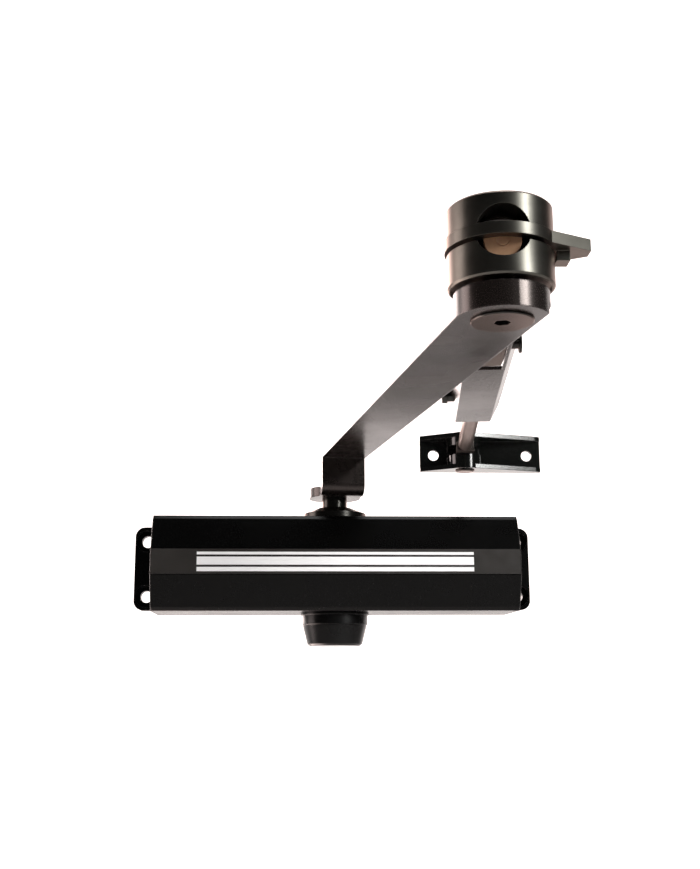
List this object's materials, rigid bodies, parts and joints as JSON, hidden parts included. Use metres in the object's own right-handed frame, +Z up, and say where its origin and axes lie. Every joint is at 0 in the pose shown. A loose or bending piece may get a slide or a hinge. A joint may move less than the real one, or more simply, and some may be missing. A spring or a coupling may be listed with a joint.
{
  "type": "door closer",
  "caption": "Surface-mounted door closer: a box-shaped hydraulic body with a rack-and-pinion drive, a folding two-part arm with a hold-open elbow, and a wall shoe.",
  "frame": {"origin": "centre of the body's mounting face, at the middle of the four mounting holes", "axes": "+X along the body, +Y into the door, +Z up along the pinion towards the arm"},
  "size_m": [0.2244, 0.3075, 0.1332],
  "materials": {
    "body_paint": "satin black paint on cast aluminium",
    "label": "printed dark grey film with white stripes",
    "plug_steel": "black oxide steel",
    "seal_rubber": "nitrile rubber",
    "spring_steel": "oiled spring steel",
    "machined_steel": "turned steel",
    "bearing_bronze": "sintered bronze",
    "dark_metal": "black plated steel",
    "cap_plastic": "moulded black plastic",
    "arm_paint": "semi-gloss black paint on pressed steel",
    "guide_ring": "filled PTFE",
    "roller_bronze": "bronze",
    "shoe_paint": "gloss black paint on pressed steel"
  },
  "bodies": {
    "root": {"body_casting": "body_paint", "label_strip": "label", "end_plug_left": "plug_steel", "end_plug_right": "plug_steel", "plug_o_rings": "seal_rubber", "main_spring": "spring_steel", "spring_seat": "machined_steel", "upper_bush": "bearing_bronze", "lower_bush": "bearing_bronze", "upper_seal": "seal_rubber", "lower_seal": "seal_rubber", "top_collar": "dark_metal", "bottom_gland": "dark_metal", "pinion_cap": "cap_plastic"},
    "arm": {"pinion_shaft": "machined_steel", "main_arm": "arm_paint", "arm_screw": "plug_steel", "arm_washer": "plug_steel", "pivot_bolt": "dark_metal", "pivot_nut": "plug_steel", "elbow_washer": "plug_steel", "detent_cam": "machined_steel"},
    "piston": {"piston": "machined_steel", "piston_guide_rings": "guide_ring", "check_valve_seat": "bearing_bronze"},
    "check_ball": {"check_valve_ball": "machined_steel"},
    "closing_valve": {"closing_valve": "machined_steel", "closing_valve_ring": "seal_rubber"},
    "latching_valve": {"latching_valve": "machined_steel", "latching_valve_ring": "seal_rubber"},
    "forearm": {"forearm_head": "dark_metal", "hold_open_cap": "dark_metal", "roller_pin": "machined_steel", "roller_carrier": "machined_steel", "disc_springs": "spring_steel", "forearm_trough": "arm_paint", "forearm_rivet": "dark_metal", "clamp_block": "dark_metal"},
    "roller": {"detent_roller": "roller_bronze"},
    "lever": {"hold_open_lever": "dark_metal"},
    "clamp": {"clamp_screw": "dark_metal"},
    "rod": {"forearm_rod": "dark_metal"},
    "shoe": {"shoe_bracket": "shoe_paint", "shoe_pin": "dark_metal"}
  },
  "joints": [
    {"name": "arm_swing", "type": "hinge", "parent": "root", "child": "arm", "pos_m": [0, -0.0188, 0.038], "axis": [0, 0, -1], "range_deg": [0, 170]},
    {"name": "piston_slide", "type": "slide", "parent": "root", "child": "piston", "axis": [-1, 0, 0], "range_m": [0, 0.02227], "deforming": ["main_spring"]},
    {"name": "check_ball_lift", "type": "slide", "parent": "piston", "child": "check_ball", "axis": [-1, 0, 0], "range_m": [0, 0.0008]},
    {"name": "closing_valve_turn", "type": "hinge", "parent": "root", "child": "closing_valve", "pos_m": [0.093, -0.038, 0.0175], "axis": [1, 0, 0], "range_deg": [-360, 360]},
    {"name": "latching_valve_turn", "type": "hinge", "parent": "root", "child": "latching_valve", "pos_m": [0.093, -0.038, -0.0175], "axis": [1, 0, 0], "range_deg": [-360, 360]},
    {"name": "elbow_fold", "type": "hinge", "parent": "arm", "child": "forearm", "pos_m": [0.04209, -0.2703, 0.062], "axis": [0, 0, -1], "range_deg": [-3, 150]},
    {"name": "roller_spin", "type": "hinge", "parent": "forearm", "child": "roller", "pos_m": [0.04097, -0.27984, 0.07755], "axis": [0.1167, 0.9932, 0], "range_deg": [-6.8, 243]},
    {"name": "hold_lever_turn", "type": "hinge", "parent": "forearm", "child": "lever", "pos_m": [0.04209, -0.2703, 0.08], "axis": [0, 0, 1], "range_deg": [0, 25]},
    {"name": "clamp_screw_turn", "type": "hinge", "parent": "forearm", "child": "clamp", "pos_m": [0.06058, -0.11289, 0.06962], "axis": [-0.9932, 0.1167, 0], "range_deg": [-180, 180]},
    {"name": "rod_length", "type": "slide", "parent": "forearm", "child": "rod", "axis": [0.1167, 0.9932, 0], "range_m": [-0.014, 0.04]},
    {"name": "shoe_swivel", "type": "hinge", "parent": "rod", "child": "shoe", "pos_m": [0.07502, 0.01007, 0.068], "axis": [0, 0, 1], "range_deg": [-70, 70]}
  ],
  "couplings": [
    {"joint": "piston_slide", "follows": "arm_swing", "m_per_rad": 0.0075},
    {"joint": "roller_spin", "follows": "elbow_fold", "ratio": 1.6}
  ]
}
